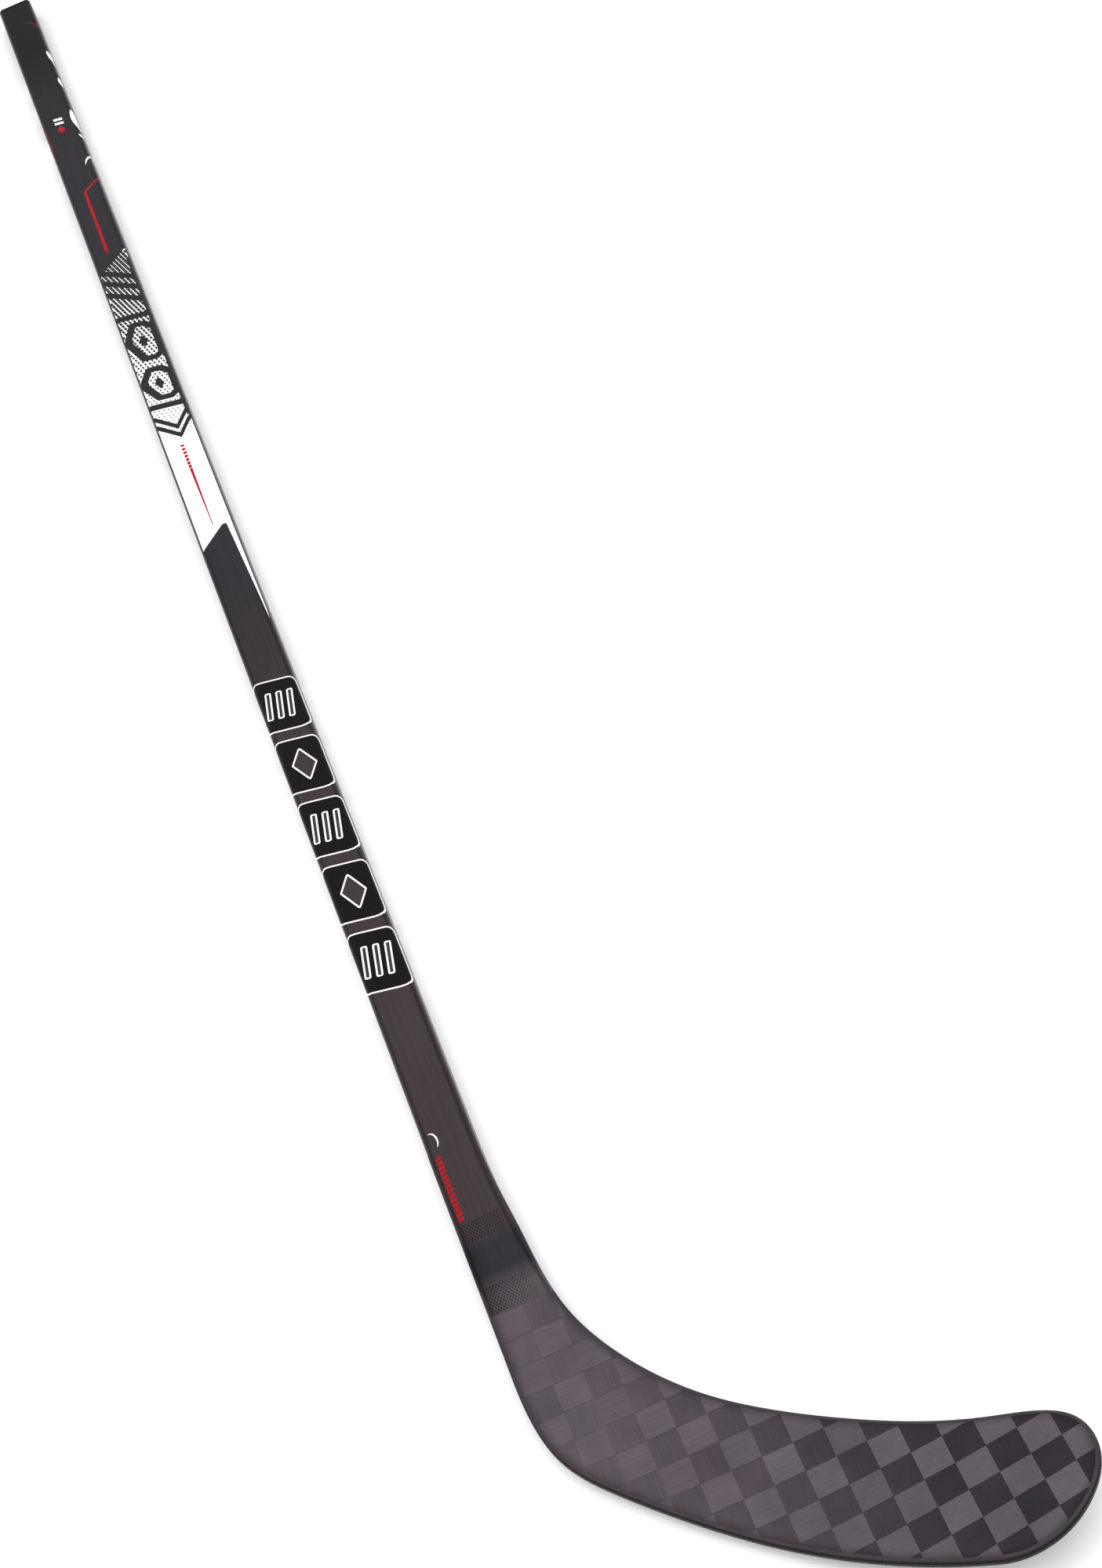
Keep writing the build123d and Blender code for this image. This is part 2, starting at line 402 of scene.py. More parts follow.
def printed(name, shapes, material, layer, back):
    """A printed graphic on the shaft tube, bent round its section."""
    reach = max(abs(x) for outlines in shapes for x, y in outlines[0])
    flat = flat_mesh(shapes, cuts_across=[cut for cut in corner_cuts() if abs(cut) < reach])

    def place(around, along, lift):
        return wrap_point(around, along, lift, back)

    piece = thicken(name, flat, place, PRINT_PROUD + LAYER * layer, -PRINT_SUNK)
    flat.free()
    finish_print(piece, material)


def draped(name, shapes, material, back):
    """A printed graphic on the flat of the hosel."""
    flat = flat_mesh(shapes)

    def place(x, y, lift):
        return blade_point(x, y, lift, back)

    piece = thicken(name, flat, place, PRINT_PROUD, -PRINT_SUNK)
    flat.free()
    if back:
        piece.data.flip_normals()
    finish_print(piece, material)


# ================= outlines =================
def inset(outline, distance):
    """An outline moved inwards. It runs anticlockwise."""
    count = len(outline)
    inward = []
    for index in range(count):
        way = (Vector(outline[(index + 1) % count]) - Vector(outline[index])).normalized()
        inward.append(Vector((-way.y, way.x)))
    moved = []
    for index in range(count):
        middle = (inward[index - 1] + inward[index]).normalized()
        reach = distance / middle.dot(inward[index])
        moved.append(tuple(Vector(outline[index]) + middle * reach))
    return moved


def rounded(outline, radius):
    """An outline with its corners rounded off."""
    points = []
    count = len(outline)
    for index in range(count):
        before, here, after = (Vector(outline[(index + k) % count]) for k in (-1, 0, 1))
        to_before, to_after = (before - here).normalized(), (after - here).normalized()
        half = to_before.angle(to_after) / 2
        shorter = min((before - here).length, (after - here).length)
        reach = min(radius / math.tan(half), shorter * ROUND_SHARE)
        start, end = here + to_before * reach, here + to_after * reach
        for step in range(ROUND_STEPS + 1):
            t = step / ROUND_STEPS
            points.append(tuple(start * (1 - t) ** 2 + here * 2 * t * (1 - t) + end * t**2))
    return points


def box_outline(x_low, x_high, y_low, y_high):
    """An upright rectangle."""
    return [(x_low, y_low), (x_high, y_low), (x_high, y_high), (x_low, y_high)]


def sheared(outline, slope):
    """An outline whose points rise by the slope for each millimetre towards +X."""
    return [(x, y + slope * x) for x, y in outline]


def ring(outline, width, radius):
    """The outline with rounded corners as a line of that width, running inwards from it."""
    return [rounded(outline, radius), rounded(inset(outline, width), max(radius - width, SMALLEST_RADIUS))]


def stripe(points, widths):
    """A band along a run of points, with a width at each."""
    left, right = [], []
    for index, point in enumerate(points):
        here = Vector(point)
        before = Vector(points[max(index - 1, 0)])
        after = Vector(points[min(index + 1, len(points) - 1)])
        way = (after - before).normalized()
        out = Vector((-way.y, way.x)) * widths[index] / 2
        left.append(tuple(here + out))
        right.append(tuple(here - out))
    return right + left[::-1]


def leaf(x, y, length, width, lean):
    """A pointed stroke with its middle at (x, y), leaning from the shaft's line by an angle."""
    points, widths = [], []
    lean = math.radians(lean)
    for step in range(LEAF_STEPS + 1):
        share = step / LEAF_STEPS
        reach = (share - 0.5) * length
        points.append((x + reach * math.sin(lean), y - reach * math.cos(lean)))
        widths.append(max(width * math.sin(math.pi * share) ** LEAF_FULLNESS, LEAF_TIP))
    return stripe(points, widths)


# ================= the shaft's graphics =================
# Each function gives shapes for flat_mesh. x runs round the section from the middle of the front
# face, y along the shaft.
PANEL_LEFT = -12.8                  # the white panel's edges
PANEL_RIGHT = 13.5
PANEL_TOP = 245.0                   # at x = PANEL_SHOULDER, from where its edge climbs to the right
PANEL_SHOULDER = -5.4
PANEL_TOP_SLOPE = 0.95
PANEL_TIP = -99.6                   # where the lacquer's point cuts into the panel
HATCH_END = 14.0
HATCH_MARGIN_X = 0.3                # how far a dash's middle may lie outside the panel
HATCH_MARGIN_TOP = 0.6
HATCH_REACH_X = 60                  # how far from the hatching's middle dashes are tried
HATCH_REACH_Y = 150
DASH_ROW = 3.05                     # between two rows of dashes
DASH_STEP = 4.1                     # from one dash to the next
DASH_LEAN = 15.0                    # the rows lean from the shaft's line, degrees
DASH_LENGTH = 1.1                   # at the hatching's end
DASH_LENGTHENING = 3.7              # how much longer towards the top, up to DASH_LONGEST
DASH_LONGEST = 3.9
DASH_WIDTH = 0.5
DASH_WIDENING = 2.05
BARS_LEFT = -15.0
BARS_RIGHT = 15.5
BAR = 7.5
BAR_TOPS = (236.0, 221.0, 204.0)
BAR_LEAN = -0.9
FRAMES = ((112.0, 164.0), (60.0, 103.0))    # low and high end
FRAME_LEFT = -12.8
FRAME_RIGHT = 15.0
FRAME_CUT = 8.0                     # off a frame's corners
FRAME_POINT = 4.0                   # half of its left side's blunt point
FRAME_BAR = 6.0
FRAME_RADIUS = 3.0
FRAME_LOZENGE = (1.0, 3.6, 8.0)     # middle, half its width, half its height
CROSS_BARS = (169.0, 49.5)          # low sides
CROSS_BAR = 6.5
CROSS_SLOPE = -0.28
CHEVRONS = (10.0, 20.5)             # the points' low sides
CHEVRON_LEFT = -13.0
CHEVRON_RIGHT = 14.5
CHEVRON_MIDDLE = 2.0
CHEVRON_RISE = 19.0                 # from the point to the sides
CHEVRON_BAR = 6.0
LINE_TOP = 1.5                      # of the dotted line
LINE_DOTS = 7
LINE_DOT = (2.2, 0.25)              # first dot's height, and how much taller the next one is
LINE_HALF = (1.4, -0.06)            # the same for half its width
LINE_GAP = (2.0, -0.27)             # and for the gap after it
LINE_END = -96.5
BLOCK_LEFT = -17.2
BLOCK_RIGHT = 15.7
BLOCK_TOP = -268.0
BLOCK_PITCH = 59.6
BLOCK_LENGTH = 50.5
BLOCK_COUNT = 5
BLOCK_LINE = 1.15
BLOCK_SLOPE = -0.25
BLOCK_RADIUS = 7.0                  # of the fill's corners
BLOCK_LINE_RADIUS = 7.6
SLOT_LEFTS = (-12.4, -5.2, 2.0)     # low left corners of a block's slots
SLOT_WIDTH = 4.2
SLOT_LEAN = 8.4                     # from a slot's low left corner to its high right one
SLOT_MARGIN = 12.0                  # to the block's ends
LOZENGE_MARGIN = 9.0
LOZENGE_MIDDLE = 0.2
LOZENGE_HALF = 8.4                  # of its width
HOLE_RADIUS = 0.9                   # of the windows' corners in the fill
WINDOW_RADIUS = 1.5                 # of their lines' corners
SIDE_STROKES = (                    # x, y, length, width, lean in degrees
    (15.0, 575, 26, 5.2, 12), (17.6, 562, 24, 4.0, 18), (15.0, 531, 18, 4.8, 10),
    (17.8, 522, 18, 3.6, 22), (15.2, 466, 38, 8.2, 6), (21.5, 455, 30, 3.6, 12),
    (15.0, 440, 9, 3.6, 40), (22.5, 413, 22, 3.0, -20),
)
MARK_BARS = (468.2, 474.6)          # low sides of the small mark's bars
MARK_BAR = 3.6
MARK_SLOPE = -0.25
PINSTRIPE_LEFT = -12.0
PINSTRIPE_RIGHT = 9.5
PINSTRIPE_SLOPE = -0.42
PINSTRIPE_LOW = 488
PINSTRIPE_PITCH = 1.75
PINSTRIPE_COUNT = 24
PINSTRIPE = 0.55
CURL_CENTRE = (-9.4, -673.0)
CURL_RADII = (3.4, 6.0)             # round the section and along the shaft
CURL_TURN = (-100, 150)             # where it starts and how far it goes, degrees
CURL_STEPS = 14
CURL_TIP = 0.3                      # width at its ends, and how much more in its middle
CURL_SWELL = 0.75
TICK_LEFT = -11.0
TICK_RIGHT = -7.4
TICK_SLOPE = 0.25
TICK_TOP = -682.0
TICK_PITCH = 3.35
TICK_COUNT = 14
TICK = 2.1
DOT_PITCH = 1.9
DOT_ROW = 1.45
DOT_WIDE = 0.52                     # half of a dot's width and height
DOT_TALL = 0.95
UPPER_DOTS = (-733.0, -745.5, -11.8, 12.6, 0.3)     # high, low, left, right, fade
LOWER_DOTS = (-776.0, -792.4, -11.8, 15.4, 0.6)


def panel_top(x):
    return PANEL_TOP + (x - PANEL_SHOULDER) * PANEL_TOP_SLOPE


def white_panel():
    """White ground of the hatching and the plain panel, ending in a notch and a thin tail."""
    outline = [
        (PANEL_LEFT, -118.4), (5.2, -100.6), (6.2, PANEL_TIP), (8.6, PANEL_TIP), (9.4, -100.6),
        (13.4, -209.4), (14.0, -200.0), (PANEL_RIGHT, PANEL_TIP), (PANEL_RIGHT, panel_top(PANEL_RIGHT)),
        (PANEL_SHOULDER, PANEL_TOP), (PANEL_LEFT, PANEL_TOP - 8),
    ]
    return [[outline]]


def on_hatching(x, y):
    inside_along = HATCH_END < y < panel_top(x) + HATCH_MARGIN_TOP
    return inside_along and PANEL_LEFT - HATCH_MARGIN_X < x < PANEL_RIGHT + HATCH_MARGIN_X


def hatch_dashes():
    """Dark dashes over the panel's upper part: long and wide at the top, dots at the bottom."""
    lean = math.radians(DASH_LEAN)
    way = Vector((math.sin(lean), -math.cos(lean)))
    side = Vector((math.cos(lean), math.sin(lean)))
    start = Vector((0, (PANEL_TOP + HATCH_END) / 2))
    steps = int(HATCH_REACH_Y / DASH_STEP)
    rows = int(HATCH_REACH_X / DASH_ROW)
    shapes = []
    for row in range(-rows, rows):
        for step in range(-steps, steps):
            middle = start + side * DASH_ROW * row + way * DASH_STEP * (step + 0.5 * (row % 2))
            if not on_hatching(middle.x, middle.y):
                continue
            share = min((middle.y - HATCH_END) / (PANEL_TOP - HATCH_END), 1.0)
            length = min(DASH_LENGTH + DASH_LENGTHENING * share, DASH_LONGEST)
            width = DASH_WIDTH + DASH_WIDENING * share
            ahead, out = way * length / 2, side * width / 2
            corners = (ahead - out, ahead + out, out - ahead, -ahead - out)
            shapes.append([[tuple(middle + corner) for corner in corners]])
    return shapes


def lozenge_outline(x, y, half_width, half_height):
    return [(x, y - half_height), (x + half_width, y), (x, y + half_height), (x - half_width, y)]


def panel_frame(low, high):
    """A tall outline with its corners cut off and its left side drawn out to a blunt point."""
    middle = (low + high) / 2
    left, right = FRAME_LEFT + FRAME_CUT, FRAME_RIGHT - FRAME_CUT
    return [
        (left, low), (right, low), (FRAME_RIGHT, low + FRAME_CUT), (FRAME_RIGHT, high - FRAME_CUT),
        (right, high), (left, high), (FRAME_LEFT, middle + FRAME_POINT), (FRAME_LEFT, middle - FRAME_POINT),
    ]


def chevron(low):
    side = low + CHEVRON_RISE
    return [
        (CHEVRON_LEFT, side + CHEVRON_BAR), (CHEVRON_LEFT, side), (CHEVRON_MIDDLE, low),
        (CHEVRON_RIGHT, side), (CHEVRON_RIGHT, side + CHEVRON_BAR), (CHEVRON_MIDDLE, low + CHEVRON_BAR),
    ]


def panel_bars():
    """Dark shapes across the hatching.

    From the top: three leaning bars, a cross bar, two frames with a lozenge in each, another
    cross bar and a double chevron.
    """
    shapes = []
    for top in BAR_TOPS:
        shapes.append([sheared(box_outline(BARS_LEFT, BARS_RIGHT, top - BAR, top), BAR_LEAN)])
    for low, high in FRAMES:
        shapes.append(ring(sheared(panel_frame(low, high), CROSS_SLOPE), FRAME_BAR, FRAME_RADIUS))
        middle, half_width, half_height = FRAME_LOZENGE
        lozenge = lozenge_outline(middle, (low + high) / 2, half_width, half_height)
        shapes.append([sheared(lozenge, CROSS_SLOPE)])
    for low in CROSS_BARS:
        shapes.append([sheared(box_outline(BARS_LEFT, BARS_RIGHT, low, low + CROSS_BAR), CROSS_SLOPE)])
    return shapes + [[chevron(low)] for low in CHEVRONS]


def panel_edge():
    """The dark band that closes the hatching along the shaft's right corner."""
    return [[[(11.4, 34.0), (14.4, 30.0), (14.4, 252.0), (11.4, 248.0)]]]


def dotted_line():
    """Dots, each longer, narrower and nearer the next, that run out in a thin line."""
    shapes = []
    y = LINE_TOP
    for index in range(LINE_DOTS):
        height, half, gap = (first + index * change for first, change in (LINE_DOT, LINE_HALF, LINE_GAP))
        shapes.append([box_outline(-half, half, y - height, y)])
        y -= height + gap
    shapes.append([[(-1.0, y - 0.1), (-0.1, LINE_END), (0.4, LINE_END), (1.0, y - 0.1)]])
    return shapes


def red_line():
    """A long red line that turns off to the corner at its upper end."""
    points = [(14.6, 370.6), (12.6, 369.2), (0.0, 358.6), (-0.2, 350.0), (-0.6, 266.0)]
    return [[stripe(points, [1.4, 1.8, 2.3, 2.4, 2.4])]]


def block_windows(index, low, top):
    """Three leaning slots, or one lozenge in every second block."""
    if index % 2:
        half_height = (top - low) / 2 - LOZENGE_MARGIN
        return [lozenge_outline(LOZENGE_MIDDLE, (top + low) / 2, LOZENGE_HALF, half_height)]
    low_side, high_side = low + SLOT_MARGIN, top - SLOT_MARGIN
    return [
        [(x, low_side), (x + SLOT_WIDTH, low_side), (x + SLOT_LEAN, high_side), (x + SLOT_WIDTH, high_side)]
        for x in SLOT_LEFTS
    ]


def block_shapes():
    """Dark blocks with windows in a row down the shaft, as (fills, lines)."""
    fills, lines = [], []
    half = BLOCK_LINE / 2
    for index in range(BLOCK_COUNT):
        top = BLOCK_TOP - index * BLOCK_PITCH
        low = top - BLOCK_LENGTH
        outer = sheared(box_outline(BLOCK_LEFT, BLOCK_RIGHT, low, top), BLOCK_SLOPE)
        windows = [sheared(window, BLOCK_SLOPE) for window in block_windows(index, low, top)]
        holes = [rounded(inset(window, half), HOLE_RADIUS) for window in windows]
        fills.append([rounded(inset(outer, half), BLOCK_RADIUS)] + holes)
        lines.append(ring(outer, BLOCK_LINE, BLOCK_LINE_RADIUS))
        lines += [ring(window, BLOCK_LINE, WINDOW_RADIUS) for window in windows]
    return fills, lines


def side_strokes():
    """White brush strokes that come over the corner from the narrow side."""
    tail = stripe([(8.4, 395.6), (10.2, 400.8), (13.0, 405.0), (17.0, 408.0)], [0.3, 1.8, 2.3, 1.2])
    return [[leaf(*stroke)] for stroke in SIDE_STROKES] + [[tail]]


def small_mark():
    """Two short white bars over a red lozenge, as (white, red)."""
    bars = [sheared(box_outline(-3.5, 4.1, low, low + MARK_BAR), MARK_SLOPE) for low in MARK_BARS]
    lozenge = [(0.4, 453.8), (3.8, 459.2), (0.2, 465.6), (-3.4, 460.4)]
    return [[bar] for bar in bars], [[lozenge]]


def butt_swoosh():
    """A thin curved line near the butt that runs off over the right corner."""
    points = [(-1.5, 648.6), (4.5, 644.6), (10.4, 638.6), (13.2, 632.0), (15.6, 622.0)]
    return [[stripe(points, [0.3, 1.2, 1.8, 2.4, 1.0])]]


def red_sliver():
    """A long narrow patch over the left corner."""
    return [[[(-17.0, 490.0), (-16.0, 430.0), (-10.8, 433.0), (-11.6, 455.0), (-13.0, 480.0)]]]


def pinstripes():
    """Fine leaning lines above the small mark."""
    lows = [PINSTRIPE_LOW + PINSTRIPE_PITCH * k for k in range(PINSTRIPE_COUNT)]
    stripes = [box_outline(PINSTRIPE_LEFT, PINSTRIPE_RIGHT, low, low + PINSTRIPE) for low in lows]
    return [[sheared(line, PINSTRIPE_SLOPE)] for line in stripes]


def hosel_loop():
    """A short curl of thin line at the start of the row of ticks, widest in its middle."""
    (x, y), (radius_x, radius_y), (first, sweep) = CURL_CENTRE, CURL_RADII, CURL_TURN
    points, widths = [], []
    for step in range(CURL_STEPS + 1):
        turn = math.radians(first + sweep * step / CURL_STEPS)
        points.append((x + radius_x * math.cos(turn), y - radius_y * math.sin(turn)))
        widths.append(CURL_TIP + CURL_SWELL * math.sin(math.pi * step / CURL_STEPS))
    return [[stripe(points, widths)]]


def hosel_ticks():
    """A row of short slanted ticks down the hosel."""
    tops = [TICK_TOP - TICK_PITCH * k for k in range(TICK_COUNT)]
    return [[sheared(box_outline(TICK_LEFT, TICK_RIGHT, top - TICK, top), TICK_SLOPE)] for top in tops]


def dot_rows(y_high, y_low, x_low, x_high, fade):
    """Staggered lozenges in rows across the hosel, smaller towards the right by the fade."""
    shapes = []
    row = 0
    y = y_high
    while y > y_low:
        x = x_low + DOT_PITCH / 2 * (row % 2)
        while x < x_high:
            size = 1 - fade * (x - x_low) / (x_high - x_low)
            wide, tall = DOT_WIDE * size, DOT_TALL * size
            shapes.append([[(x - wide, y), (x, y - tall), (x + wide, y), (x, y + tall)]])
            x += DOT_PITCH
        y -= DOT_ROW
        row += 1
    return shapes


def add_graphics(inks):
    fills, lines = block_shapes()
    mark_white, mark_red = small_mark()
    on_tube = (                     # name, shapes, ink, layer
        ("white_panel", white_panel(), "white", 0),
        ("hatch_dashes", hatch_dashes(), "charcoal", 1),
        ("panel_bars", panel_bars(), "charcoal", 2),
        ("panel_edge", panel_edge(), "charcoal", 3),
        ("dotted_line", dotted_line(), "red", 1),
        ("red_line", red_line(), "red", 0),
        ("block_fill", fills, "black", 0),
        ("block_outline", lines, "white", 1),
        ("strokes", side_strokes(), "white", 0),
        ("small_mark", mark_white, "white", 0),
        ("lozenge", mark_red, "red", 0),
        ("butt_swoosh", butt_swoosh(), "dull_red", 0),
        ("red_sliver", red_sliver(), "dull_red", 0),
        ("pinstripes", pinstripes(), "smoke", 0),
        ("loop", hosel_loop(), "white", 0),
    )
    on_hosel = (
        ("ticks", hosel_ticks(), "red"),
        ("upper_dots", dot_rows(*UPPER_DOTS), "dot"),
        ("lower_dots", dot_rows(*LOWER_DOTS), "dot"),
    )
    for side, back in (("front", False), ("back", True)):
        for name, shapes, ink, layer in on_tube:
            printed(f"{side}_{name}", shapes, inks[ink], layer, back)
        for name, shapes, ink in on_hosel:
            draped(f"{side}_{name}", shapes, inks[ink], back)


# ================= camera, floor and light =================
CAMERA_AT = Vector((98.446, -1661.760, 1286.965)) * MM
CAMERA_AIM = Vector((137.41, -438.95, 0)) * MM
CAMERA_ROLL = -22.715               # degrees
CAMERA_LENS = 65.43
SENSOR_WIDTH = 36
VIEW_END = 50                       # metres, as are the floor's reach and the lights' places
FLOOR_REACH = 12.0
FLOOR_WHITE = (0.92, 0.92, 0.92, 1)
LIGHT_AIM = (0, -0.2, 0)
LIGHT_SIZE = 2.6


def add_camera():
    data = bpy.data.cameras.new("camera")
    data.lens = CAMERA_LENS
    data.sensor_width = SENSOR_WIDTH
    data.clip_end = VIEW_END
    camera = bpy.data.objects.new("camera", data)
    camera.location = CAMERA_AT
    camera.rotation_mode = "QUATERNION"
    look = (CAMERA_AIM - CAMERA_AT).to_track_quat("-Z", "Y")
    camera.rotation_quaternion = look @ Quaternion((0, 0, 1), math.radians(CAMERA_ROLL))
    bpy.context.scene.collection.objects.link(camera)
    bpy.context.scene.camera = camera


def add_floor():
    mesh = bpy.data.meshes.new("floor")
    corners = [(x * FLOOR_REACH, y * FLOOR_REACH, 0) for x, y in ((-1, -1), (1, -1), (1, 1), (-1, 1))]
    mesh.from_pydata(corners, [], [(0, 1, 2, 3)])
    floor = bpy.data.objects.new("floor", mesh)
    bpy.context.scene.collection.objects.link(floor)
    finish = Finish("floor_paint", roughness=0.9, specular=0.1)
    finish.set("Base Color", FLOOR_WHITE)
    mesh.materials.append(finish.material)


def add_light(name, place, power):
    data = bpy.data.lights.new(name, "AREA")
    data.shape = "DISK"
    data.size = LIGHT_SIZE
    data.energy = power
    light = bpy.data.objects.new(name, data)
    light.location = place
    light.rotation_mode = "QUATERNION"
    light.rotation_quaternion = (Vector(LIGHT_AIM) - Vector(place)).to_track_quat("-Z", "Y")
    bpy.context.scene.collection.objects.link(light)


def add_stage():
    add_camera()
    add_floor()
    add_light("key", (-0.9, -1.6, 3.2), 44)
    add_light("fill", (1.1, -1.4, 3.2), 34)
    world = bpy.data.worlds.new("studio")
    world.use_nodes = True
    background = world.node_tree.nodes["Background"]
    background.inputs["Color"].default_value = (1, 1, 1, 1)
    background.inputs["Strength"].default_value = 1.0
    bpy.context.scene.world = world
    bpy.context.scene.view_settings.view_transform = "Standard"


# ================= the blade's woven skins =================
SKIN = 0.8
TOW_X = 16.9                        # width of the tows that run along the shaft's line
TOW_Y = 17.6                        # width of the tows that run across it
WEAVE_X = 55.3                      # a corner of the weave
WEAVE_Y = -916.6
TOW_STEPS = 6
SEAM = 0.35                         # half width of the pinched line between two tows
PILLOW = 0.06                       # how far the seams lie below a tow's middle
PILLOW_SQUARENESS = 6               # the higher, the flatter a tow and the steeper its sides
RIM = 5.0                           # width of the band of painted shade along the skin's free edge
UPWARD = 0.5                        # faces whose normal's Z is above this are a skin's upper ones

SHEEN_HEEL_TO_TOE = (20.0, 170.0)         # along +X, between a tow's tone and painted reflection at the heel and at the toe
ACROSS_SHEEN_TONES = ((82, 73, 80), (80, 74, 80))     # of tows across the shaft's line, heel and toe: the carbon's tone with painted reflection
# tows along the shaft's line: their painted reflection dims towards the toe
ALONG_SHEEN_TONES = ((75, 67, 73), (41, 37, 42))
CROSSING_TINTS = ((255, 250, 252), (249, 253, 255))
CROSSING_LEVELS = (0.93, 1.07)
SEAM_SHARE = 0.035                  # half width of a seam's dark line, in widths of a tow
SEAM_LEVEL = 0.74
RIM_SHADE_LEVEL = 0.62
RIM_SHADE_FALL = 1.6                      # the power by which the rim's painted shade falls off


def skin_outline(node):
    """The plan outline of a CAD skin, from the boundary of its upper faces."""
    work = bmesh.new()
    work.from_mesh(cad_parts[node].data)
    bmesh.ops.remove_doubles(work, verts=work.verts, dist=1e-6)
    upper = {face for face in work.faces if face.normal.z > UPWARD}
    following = {}
    for edge in work.edges:
        linked = [face for face in edge.link_faces if face in upper]
        if len(linked) == 1:
            loop = next(loop for loop in edge.link_loops if loop.face in upper)
            following[loop.vert.index] = loop.link_loop_next.vert.index
    work.verts.ensure_lookup_table()
    start = here = next(iter(following))
    outline = []
    while True:
        place = work.verts[here].co / MM
        outline.append((place.x, place.y))
        here = following[here]
        if here == start:
            break
    work.free()
    return outline


def edge_distance(outline, point):
    """Distance from a point to the outline, at most RIM, leaving out the seam with the hosel."""
    nearest = RIM
    for a, b in zip(outline, outline[1:] + outline[:1]):
        if min(a[1], b[1]) > SKIN_TOP - 0.1:
            continue
        start, way = Vector(a), Vector(b) - Vector(a)
        share = min(max((point - start).dot(way) / way.length_squared, 0.0), 1.0)
        nearest = min(nearest, (point - start - way * share).length)
    return nearest


def tow_cuts(origin, pitch, low, high):
    """Where a skin is cut across one axis: either side of each seam, on it, and within the tows."""
    first, last = math.floor((low - origin) / pitch), math.ceil((high - origin) / pitch)
    lines = []
    for tow in range(first, last):
        base = origin + tow * pitch
        lines += [base - SEAM, base, base + SEAM]
        lines += [base + pitch * step / TOW_STEPS for step in range(1, TOW_STEPS)]
    return [line for line in lines if low < line < high]


def pillow_lift(x, y):
    """Lift of the woven surface: none in the middle of a crossing, down by PILLOW at its seams."""
    across = abs(((x - WEAVE_X) / TOW_X) % 1 - 0.5) * 2
    along = abs(((y - WEAVE_Y) / TOW_Y) % 1 - 0.5) * 2
    crown = (1 - across**PILLOW_SQUARENESS) * (1 - along**PILLOW_SQUARENESS)
    return PILLOW * (crown - 1)


def woven_skin(name, node, back, materials):
    """A skin of spread tows in plain weave, pillowed tow by tow, over a CAD skin's outline."""
    outline = skin_outline(node)
    xs, ys = zip(*outline)
    inner = inset(outline, RIM)
    cuts_x = tow_cuts(WEAVE_X, TOW_X, min(xs), max(xs))
    cuts_y = tow_cuts(WEAVE_Y, TOW_Y, min(ys), max(ys))
    flat = flat_mesh([[outline, inner], [inner]], cuts_x, cuts_y, welded=True)

    def place(x, y, lift):
        return blade_point(x, y, lift if lift < 0 else pillow_lift(x, y), back)

    flat.faces.ensure_lookup_table()
    parity = []
    for face in flat.faces:
        middle = face.calc_center_median()
        column = math.floor((middle.x - WEAVE_X) / TOW_X)
        row = math.floor((middle.y - WEAVE_Y) / TOW_Y)
        parity.append((column + row) % 2)
    piece = thicken(name, flat, place, 0.0, -SKIN)
    # painted shade: how near each point lies to the skin's free edge
    nearness = [1 - min(edge_distance(outline, v.co.xy) / RIM, 1) for v in flat.verts]
    painted_rim_shade = piece.data.attributes.new("painted_rim_shade", "FLOAT", "POINT")
    painted_rim_shade.data.foreach_set("value", nearness + nearness)      # the upper points, then the lower ones
    for material in materials:
        piece.data.materials.append(material)
    for index, odd in enumerate(parity):
        piece.data.polygons[2 * index].material_index = odd
    flat.free()
    if back:
        piece.data.flip_normals()
    shade_smooth(piece)
    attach(piece, "stick")
    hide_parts(node)


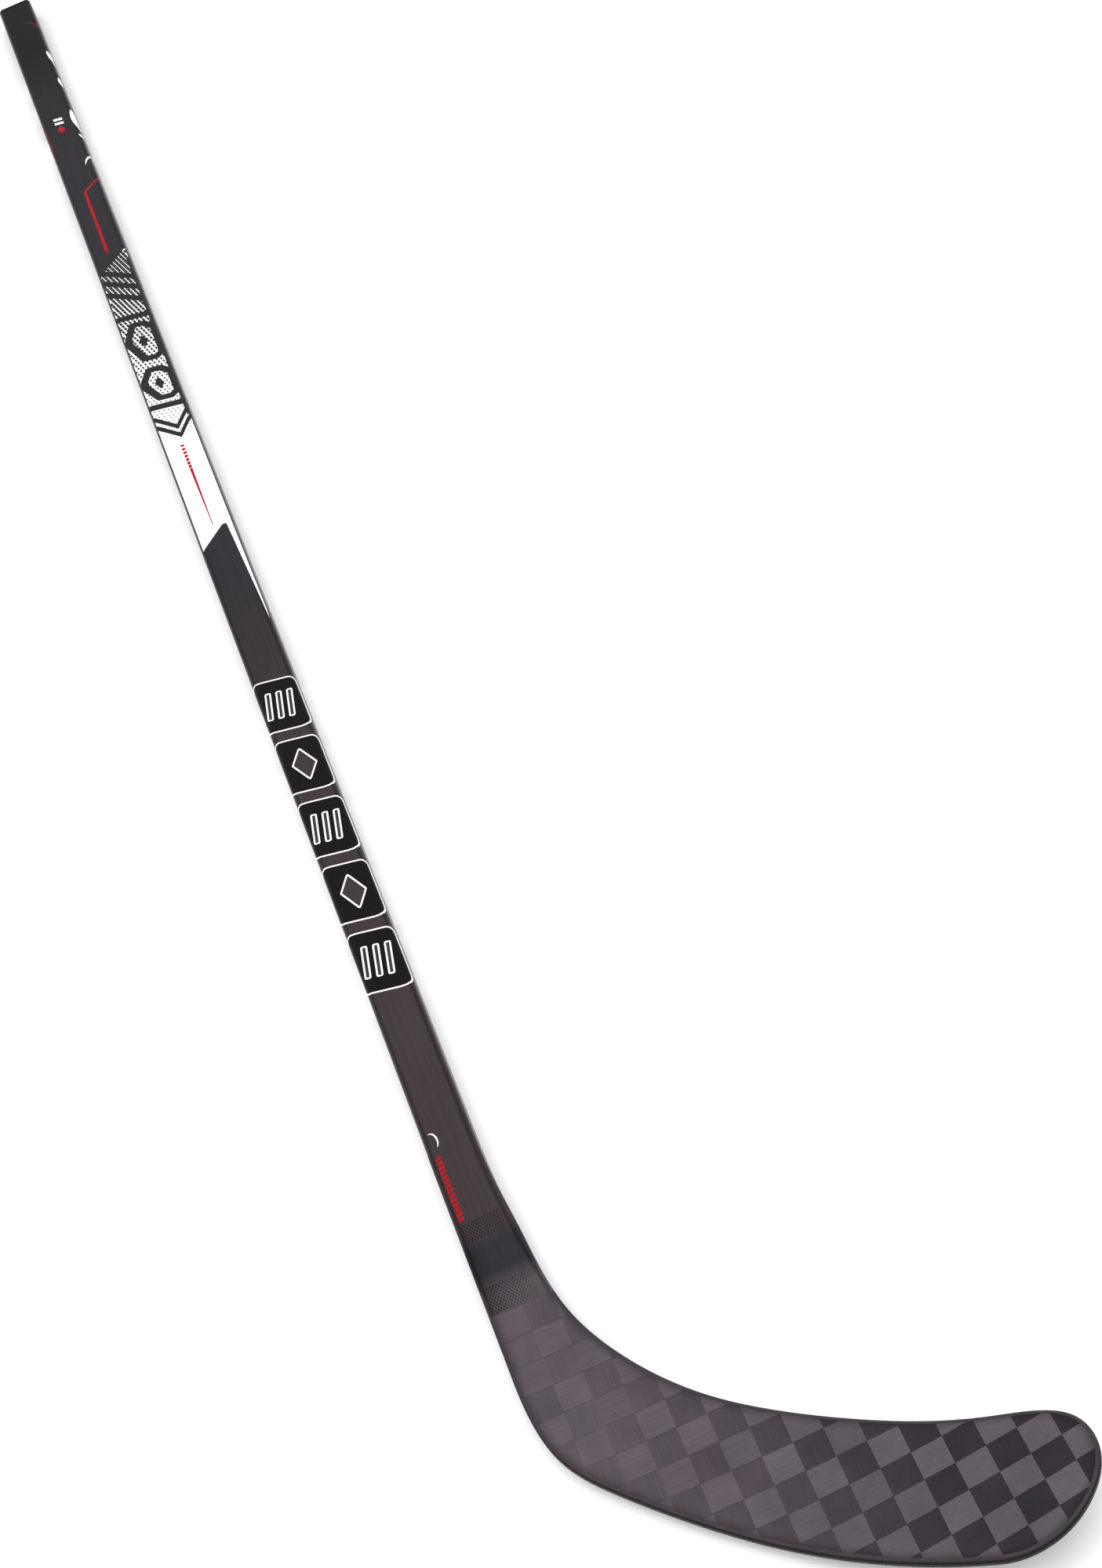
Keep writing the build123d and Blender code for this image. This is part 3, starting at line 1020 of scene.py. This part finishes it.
def tow_finish(name, tones, stretch):
    """Spread tow under clear resin: its fibres are drawn out along the tow.

    Its tone, which goes from heel to toe, is the carbon's own with painted reflection that differs
    between the two tow directions. Each crossing differs a little in tone, the seams across the
    shaft's line show as fine dark lines, and painted shade darkens the skin towards its free edge.
    """
    finish = Finish(name, roughness=0.42)
    place = finish.node("ShaderNodeSeparateXYZ", Vector=finish.place)
    x, y = place.outputs["X"], place.outputs["Y"]
    columns, rows = (
        finish.math("DIVIDE", finish.math("SUBTRACT", axis, start * MM), pitch * MM)
        for axis, start, pitch in ((x, WEAVE_X, TOW_X), (y, WEAVE_Y, TOW_Y))
    )
    heel_tone, toe_tone = (linear(*tone) for tone in tones)
    # painted reflection: the tow's tone changes from heel to toe
    tone = finish.mix(finish.fade(x, *SHEEN_HEEL_TO_TOE), heel_tone, toe_tone)

    cell = finish.node("ShaderNodeCombineXYZ")
    finish.feed(cell.inputs[0], finish.math("FLOOR", columns))
    finish.feed(cell.inputs[1], finish.math("FLOOR", rows))
    dice = finish.node("ShaderNodeTexWhiteNoise", Vector=cell.outputs[0])
    cast = finish.node("ShaderNodeSeparateColor", Color=dice.outputs["Color"]).outputs["Green"]
    tint = finish.mix(cast, *(linear(*colour) for colour in CROSSING_TINTS))
    level = finish.spread(dice.outputs["Value"], 0.0, 1.0, *CROSSING_LEVELS)
    seam = finish.spread(finish.math("PINGPONG", rows, 0.5), 0.0, SEAM_SHARE, SEAM_LEVEL, 1.0)
    fibre = finish.noise(1500, stretch=stretch, detail=4)
    cloud = finish.noise(45, detail=2)
    streak = finish.vary(fibre, 0.9, 1.1)
    patch = finish.vary(cloud, 0.9, 1.1)
    painted_rim_shade = finish.node("ShaderNodeAttribute", {"attribute_name": "painted_rim_shade"}).outputs["Fac"]
    # painted shade darkening the skin towards its free edge
    shadow = finish.spread(finish.math("POWER", painted_rim_shade, RIM_SHADE_FALL), 0.0, 1.0, 1.0, RIM_SHADE_LEVEL)
    finish.colour(finish.mix(1.0, finish.shade(tone, streak, patch, level, seam, shadow), tint, "MULTIPLY"))
    finish.rough(finish.vary(cloud, 0.36, 0.48))
    finish.bump(fibre, 0.5)
    return finish.material


# ================= build =================
INKS = {                            # tone and roughness
    "white": ((226, 226, 228), 0.35),
    "red": ((158, 16, 22), 0.35),
    "dull_red": ((74, 24, 26), 0.4),
    "black": ((17, 14, 17), 0.25),
    "charcoal": ((38, 36, 39), 0.4),
    "smoke": ((42, 40, 43), 0.4),
    "dot": ((24, 21, 24), 0.4),
}

add_stage()

lacquer = shaft_lacquer()
cap_rubber = plain("cap_rubber", (5, 5, 6), 0.6, specular=0.0)
core = plain("core", (120, 110, 90), 0.7)
edge_resin = edge_finish()

for material, node_names in (
    (lacquer, ("shaft_tube", "hosel_wrap")),
    (cap_rubber, ("butt_end_cap",)),
    (core, ("tenon_bond", "hosel_tenon", "blade_rib", "blade_core_upper", "blade_core_lower")),
    (edge_resin, ("blade_top_edge", "blade_sole_edge")),
):
    for node_name in node_names:
        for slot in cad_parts[node_name].material_slots:
            slot.material = material

# one carbon for both tows: their tones differ only by painted reflection
tow_across_painted_sheen = tow_finish("tow_across", ACROSS_SHEEN_TONES, (0.03, 1, 1))
tow_along_painted_sheen = tow_finish("tow_along", ALONG_SHEEN_TONES, (1, 0.03, 1))
woven_skin("front_weave", "blade_front_skin", False, [tow_across_painted_sheen, tow_along_painted_sheen])
woven_skin("back_weave", "blade_back_skin", True, [tow_across_painted_sheen, tow_along_painted_sheen])

add_graphics({name: plain(f"{name}_ink", *ink) for name, ink in INKS.items()})
